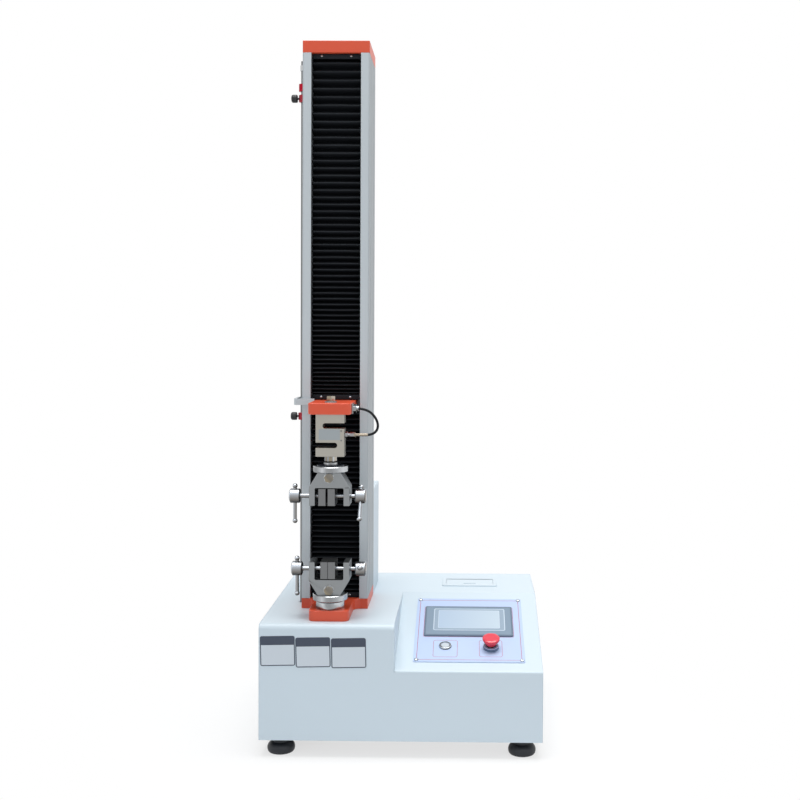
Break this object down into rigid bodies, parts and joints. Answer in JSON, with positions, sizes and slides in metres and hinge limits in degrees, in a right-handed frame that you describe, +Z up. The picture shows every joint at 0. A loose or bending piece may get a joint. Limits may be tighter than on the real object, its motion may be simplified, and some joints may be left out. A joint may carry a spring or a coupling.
{
  "type": "universal testing machine",
  "caption": "Desktop tensile tester: one column with bellows on a base with a sloped console, and an arm with a load cell over a pair of screw vice grips.",
  "frame": {"origin": "on the floor under the middle of the machine's outline", "axes": "+Z up along the column, +X to the console's side, the operator stands at -Y"},
  "size_m": [0.5, 0.4291, 1.282],
  "materials": {
    "housing_paint": "pale blue-grey fine powder coat, satin",
    "orange_paint": "orange-red smooth enamel, satin",
    "column_aluminium": "clear anodised extrusion, satin",
    "plain_steel": "machined steel, fine brushing",
    "painted_frame": "dark grey primer on welded steel",
    "cell_nickel": "nickel plated steel, satin",
    "grip_aluminium": "anodised aluminium, satin",
    "bright_chrome": "polished chrome",
    "brass_nickel": "yellow passivated zinc on steel",
    "bellows_cloth": "black coated bellows cloth, matt",
    "black_rubber": "black rubber, matt",
    "black_plastic": "black moulded plastic, matt",
    "cable_jacket": "dark grey PVC jacket, satin",
    "stop_red": "raspberry red moulded plastic, gloss",
    "ring_crimson": "crimson anodised aluminium, satin",
    "fascia_film": "printed polyester film, lavender-blue, satin",
    "bezel_grey": "blue-grey moulded plastic, fine texture",
    "pale_plastic": "pale blue-grey moulded plastic, fine texture",
    "paper_white": "white thermal paper, matt",
    "motor_black": "black painted motor housing, satin",
    "electronics_metal": "folded aluminium cases and board, satin"
  },
  "bodies": {
    "frame": {"bottom_plate": "plain_steel", "base_cover": "housing_paint", "support_frame": "painted_frame", "foot_flange": "orange_paint", "column_profile": "column_aluminium", "column_cap": "orange_paint", "screw_bearings": "plain_steel", "guide_rods": "bright_chrome", "drive_motor": "motor_black", "motor_cover": "housing_paint", "timing_belt": "black_rubber", "electronics": "electronics_metal", "control_panel": "fascia_film", "touch_screen": "bezel_grey", "panel_printer": "pale_plastic", "power_inlet": "black_plastic", "limit_guides": "plain_steel", "upper_bellows": "bellows_cloth", "lower_bellows": "bellows_cloth", "lower_grip_mount": "grip_aluminium", "lower_yoke": "grip_aluminium"},
    "crosshead": {"carriage": "column_aluminium", "ball_nut": "plain_steel", "crosshead_arm": "orange_paint", "limit_finger": "column_aluminium", "cell_bolt": "brass_nickel", "load_cell": "cell_nickel", "cable_fittings": "bright_chrome", "load_cell_cable": "cable_jacket", "upper_grip_mount": "grip_aluminium", "upper_yoke": "grip_aluminium"},
    "screw": {"ball_screw": "plain_steel"},
    "motor_shaft": {"motor_pulley": "plain_steel"},
    "upper_left_jaw": {"upper_left_jaw": "plain_steel"},
    "upper_left_screw": {"upper_left_screw": "bright_chrome"},
    "upper_left_bar": {"upper_left_bar": "bright_chrome"},
    "upper_right_jaw": {"upper_right_jaw": "plain_steel"},
    "upper_right_screw": {"upper_right_screw": "bright_chrome"},
    "upper_right_bar": {"upper_right_bar": "bright_chrome"},
    "lower_left_jaw": {"lower_left_jaw": "plain_steel"},
    "lower_left_screw": {"lower_left_screw": "bright_chrome"},
    "lower_left_bar": {"lower_left_bar": "bright_chrome"},
    "lower_right_jaw": {"lower_right_jaw": "plain_steel"},
    "lower_right_screw": {"lower_right_screw": "bright_chrome"},
    "lower_right_bar": {"lower_right_bar": "bright_chrome"},
    "limit_rod": {"limit_rod": "plain_steel"},
    "upper_stop_ring": {"upper_stop_ring": "ring_crimson"},
    "lower_stop_ring": {"lower_stop_ring": "ring_crimson"},
    "upper_stop_knob": {"upper_stop_knob": "black_plastic"},
    "lower_stop_knob": {"lower_stop_knob": "black_plastic"},
    "estop_stem": {"estop_stem": "plain_steel"},
    "estop_head": {"estop_head": "stop_red"},
    "power_button": {"power_button": "bright_chrome"},
    "printer_door": {"printer_door": "pale_plastic"},
    "paper_roll": {"paper_roll": "paper_white"},
    "rocker_switch": {"rocker_switch": "black_plastic"},
    "left_front_foot": {"left_front_foot": "black_rubber"},
    "left_back_foot": {"left_back_foot": "black_rubber"},
    "right_front_foot": {"right_front_foot": "black_rubber"},
    "right_back_foot": {"right_back_foot": "black_rubber"}
  },
  "joints": [
    {"name": "crosshead_travel", "type": "slide", "parent": "frame", "child": "crosshead", "axis": [0, 0, 1], "range_m": [-0.012, 0.5], "deforming": ["upper_bellows", "lower_bellows"]},
    {"name": "screw_spin", "type": "hinge", "parent": "frame", "child": "screw", "pos_m": [-0.13, -0.0332, 0.7], "axis": [0, 0, 1], "range_deg": [-870, 36010]},
    {"name": "motor_spin", "type": "hinge", "parent": "frame", "child": "motor_shaft", "pos_m": [-0.13, 0.0748, 0.2], "axis": [0, 0, 1], "range_deg": [-1740, 72020]},
    {"name": "upper_left_jaw_slide", "type": "slide", "parent": "crosshead", "child": "upper_left_jaw", "axis": [-1, 0, 0], "range_m": [-0.0016, 0.0055]},
    {"name": "upper_left_screw_turn", "type": "hinge", "parent": "upper_left_jaw", "child": "upper_left_screw", "pos_m": [-0.19365, -0.1662, 0.4555], "axis": [-1, 0, 0], "range_deg": [-386, 1322]},
    {"name": "upper_left_bar_slide", "type": "slide", "parent": "upper_left_screw", "child": "upper_left_bar", "axis": [0, 0, 1], "range_m": [0, 0.027]},
    {"name": "upper_right_jaw_slide", "type": "slide", "parent": "crosshead", "child": "upper_right_jaw", "axis": [1, 0, 0], "range_m": [-0.0016, 0.015]},
    {"name": "upper_right_screw_turn", "type": "hinge", "parent": "upper_right_jaw", "child": "upper_right_screw", "pos_m": [-0.07595, -0.1662, 0.4555], "axis": [1, 0, 0], "range_deg": [-386, 3602]},
    {"name": "upper_right_bar_slide", "type": "slide", "parent": "upper_right_screw", "child": "upper_right_bar", "axis": [0, 0.5736, 0.8192], "range_m": [0, 0.027]},
    {"name": "lower_left_jaw_slide", "type": "slide", "parent": "frame", "child": "lower_left_jaw", "axis": [-1, 0, 0], "range_m": [0, 0.0094]},
    {"name": "lower_left_screw_turn", "type": "hinge", "parent": "lower_left_jaw", "child": "lower_left_screw", "pos_m": [-0.1897, -0.1662, 0.325], "axis": [-1, 0, 0], "range_deg": [0, 2258]},
    {"name": "lower_left_bar_slide", "type": "slide", "parent": "lower_left_screw", "child": "lower_left_bar", "axis": [0, 0, 1], "range_m": [0, 0.027]},
    {"name": "lower_right_jaw_slide", "type": "slide", "parent": "frame", "child": "lower_right_jaw", "axis": [1, 0, 0], "range_m": [0, 0.0144]},
    {"name": "lower_right_screw_turn", "type": "hinge", "parent": "lower_right_jaw", "child": "lower_right_screw", "pos_m": [-0.0753, -0.1662, 0.325], "axis": [1, 0, 0], "range_deg": [0, 3458]},
    {"name": "lower_right_bar_slide", "type": "slide", "parent": "lower_right_screw", "child": "lower_right_bar", "axis": [0, -0.9613, 0.2756], "range_m": [0, 0.027]},
    {"name": "limit_rod_lift", "type": "slide", "parent": "frame", "child": "limit_rod", "axis": [0, 0, 1], "range_m": [-0.003, 0.003], "stiffness_N_per_m": 2000, "springref_m": 0.00134},
    {"name": "upper_stop_set", "type": "slide", "parent": "limit_rod", "child": "upper_stop_ring", "axis": [0, 0, 1], "range_m": [-0.04, 0.003]},
    {"name": "lower_stop_set", "type": "slide", "parent": "limit_rod", "child": "lower_stop_ring", "axis": [0, 0, 1], "range_m": [-0.1, 0]},
    {"name": "upper_stop_knob_turn", "type": "hinge", "parent": "upper_stop_ring", "child": "upper_stop_knob", "pos_m": [-0.214, -0.0492, 1.1865], "axis": [-1, 0, 0], "range_deg": [0, 360]},
    {"name": "lower_stop_knob_turn", "type": "hinge", "parent": "lower_stop_ring", "child": "lower_stop_knob", "pos_m": [-0.214, -0.0492, 0.5895], "axis": [-1, 0, 0], "range_deg": [0, 360]},
    {"name": "estop_push", "type": "slide", "parent": "frame", "child": "estop_stem", "axis": [0, 0.3099, -0.9508], "range_m": [0, 0.004]},
    {"name": "estop_twist", "type": "hinge", "parent": "estop_stem", "child": "estop_head", "pos_m": [0.1595, -0.1467, 0.177], "axis": [0, 0.3099, -0.9508], "range_deg": [0, 45], "stiffness_Nm_per_rad": 0.15},
    {"name": "power_push", "type": "slide", "parent": "frame", "child": "power_button", "axis": [0, 0.3099, -0.9508], "range_m": [0, 0.002], "stiffness_N_per_m": 1500, "springref_m": -0.0003},
    {"name": "printer_door_swing", "type": "hinge", "parent": "frame", "child": "printer_door", "pos_m": [0.1205, 0.1382, 0.2335], "axis": [-1, 0, 0], "range_deg": [0, 80]},
    {"name": "paper_roll_spin", "type": "hinge", "parent": "frame", "child": "paper_roll", "pos_m": [0.1205, 0.1258, 0.207], "axis": [1, 0, 0], "continuous": true},
    {"name": "rocker_tip", "type": "hinge", "parent": "frame", "child": "rocker_switch", "pos_m": [0.15, 0.211, 0.108], "axis": [1, 0, 0], "range_deg": [0, 20]},
    {"name": "left_front_foot_height", "type": "slide", "parent": "frame", "child": "left_front_foot", "axis": [0, 0, -1], "range_m": [0, 0.012]},
    {"name": "left_back_foot_height", "type": "slide", "parent": "frame", "child": "left_back_foot", "axis": [0, 0, -1], "range_m": [0, 0.012]},
    {"name": "right_front_foot_height", "type": "slide", "parent": "frame", "child": "right_front_foot", "axis": [0, 0, -1], "range_m": [0, 0.012]},
    {"name": "right_back_foot_height", "type": "slide", "parent": "frame", "child": "right_back_foot", "axis": [0, 0, -1], "range_m": [0, 0.012]}
  ],
  "couplings": [
    {"joint": "screw_spin", "follows": "crosshead_travel", "rad_per_m": 1256.6},
    {"joint": "motor_spin", "follows": "crosshead_travel", "rad_per_m": 2513.3},
    {"joint": "upper_left_screw_turn", "follows": "upper_left_jaw_slide", "rad_per_m": 4188.8},
    {"joint": "upper_right_screw_turn", "follows": "upper_right_jaw_slide", "rad_per_m": 4188.8},
    {"joint": "lower_left_screw_turn", "follows": "lower_left_jaw_slide", "rad_per_m": 4188.8},
    {"joint": "lower_right_screw_turn", "follows": "lower_right_jaw_slide", "rad_per_m": 4188.8}
  ]
}
